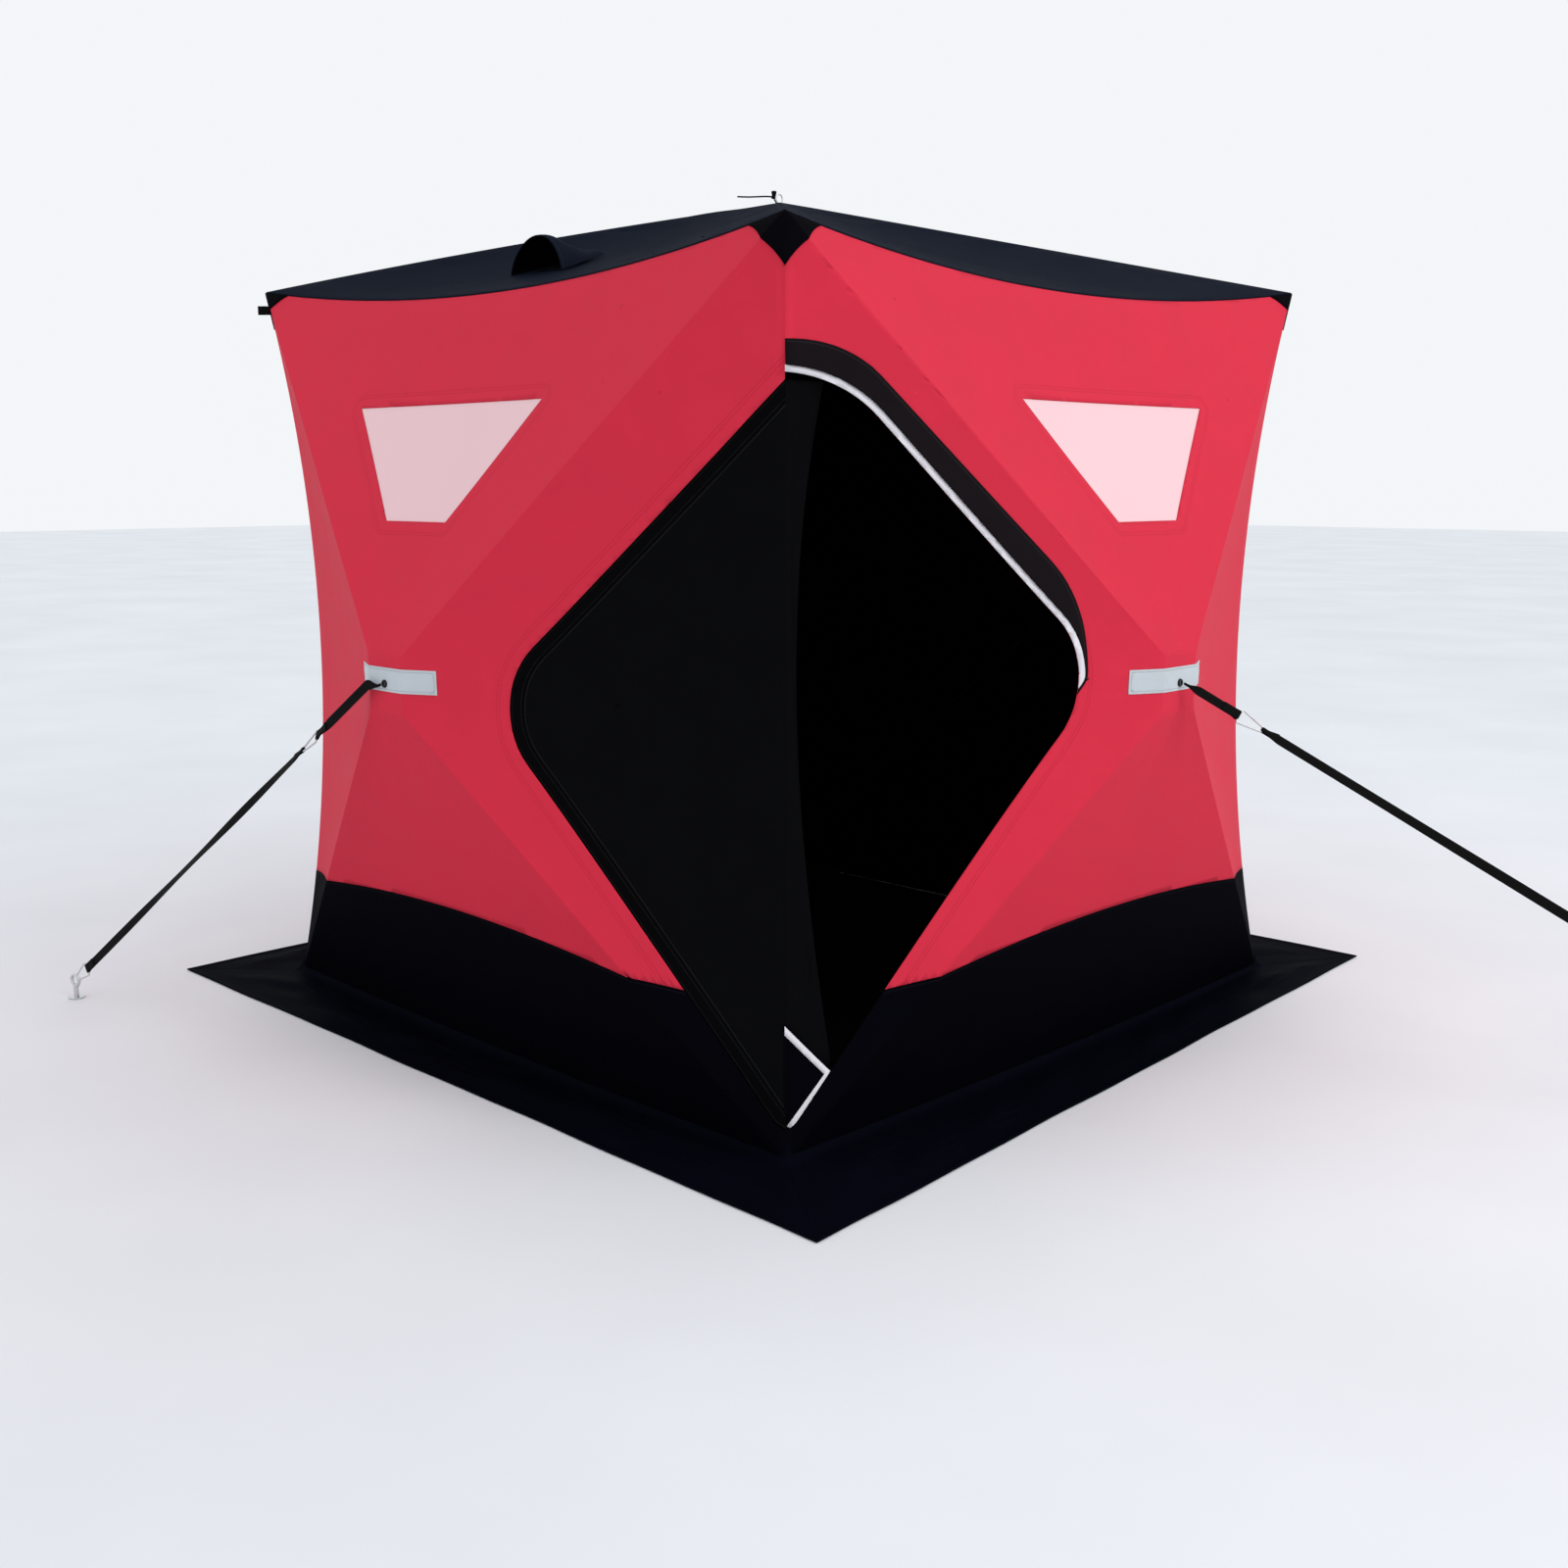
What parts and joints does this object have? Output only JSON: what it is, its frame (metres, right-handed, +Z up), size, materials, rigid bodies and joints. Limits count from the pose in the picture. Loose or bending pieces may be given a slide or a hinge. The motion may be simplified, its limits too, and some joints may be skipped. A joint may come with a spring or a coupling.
{
  "type": "pop-up ice fishing hut",
  "caption": "Pop-up ice fishing hut with hubbed, outward-folded cloth walls, a wrap-round corner door, windows, ground skirts and taut guys.",
  "frame": {"origin": "middle of the floor, on the ice", "axes": "+Z up, front wall towards -Y, right wall towards +X; the door wraps the corner between them"},
  "size_m": [4.8318, 2.886, 1.983],
  "materials": {
    "red_cloth": "matte",
    "black_cloth": "matte",
    "roof_cloth": "matte",
    "skirt_cloth": "satin",
    "door_cloth": "matte",
    "window_film": "translucent",
    "webbing": "matte",
    "steel": "satin",
    "hub_plastic": "satin",
    "fibreglass": "satin",
    "reflective_cloth": "satin",
    "mesh": "matte",
    "pale_tape": "matte"
  },
  "bodies": {
    "root": {"front_wall": "red_cloth", "front_lower_band": "black_cloth", "front_window": "window_film", "front_snow_skirt": "skirt_cloth", "front_roof_panel": "roof_cloth", "front_guy_strap": "webbing", "right_wall": "red_cloth", "right_lower_band": "black_cloth", "right_window": "window_film", "right_snow_skirt": "skirt_cloth", "right_roof_panel": "roof_cloth", "right_guy_strap": "webbing", "back_wall": "red_cloth", "back_lower_band": "black_cloth", "back_window": "window_film", "back_snow_skirt": "skirt_cloth", "back_roof_panel": "roof_cloth", "back_guy_strap": "webbing", "left_wall": "red_cloth", "left_lower_band": "black_cloth", "left_window": "window_film", "left_snow_skirt": "skirt_cloth", "left_roof_panel": "roof_cloth", "left_guy_strap": "webbing", "guy_links": "steel", "ice_anchors": "steel", "wall_hubs": "hub_plastic", "wall_poles": "fibreglass", "hub_strips": "reflective_cloth", "corner_patches": "roof_cloth", "roof_hub": "hub_plastic", "roof_poles": "fibreglass", "roof_vent_hood": "roof_cloth", "roof_vent_mesh": "mesh", "roof_pull": "webbing", "corner_loop": "webbing", "door_panel": "door_cloth", "door_zip_cover": "black_cloth", "door_upper_tape": "pale_tape", "door_lower_tape": "pale_tape"}
  },
  "joints": []
}
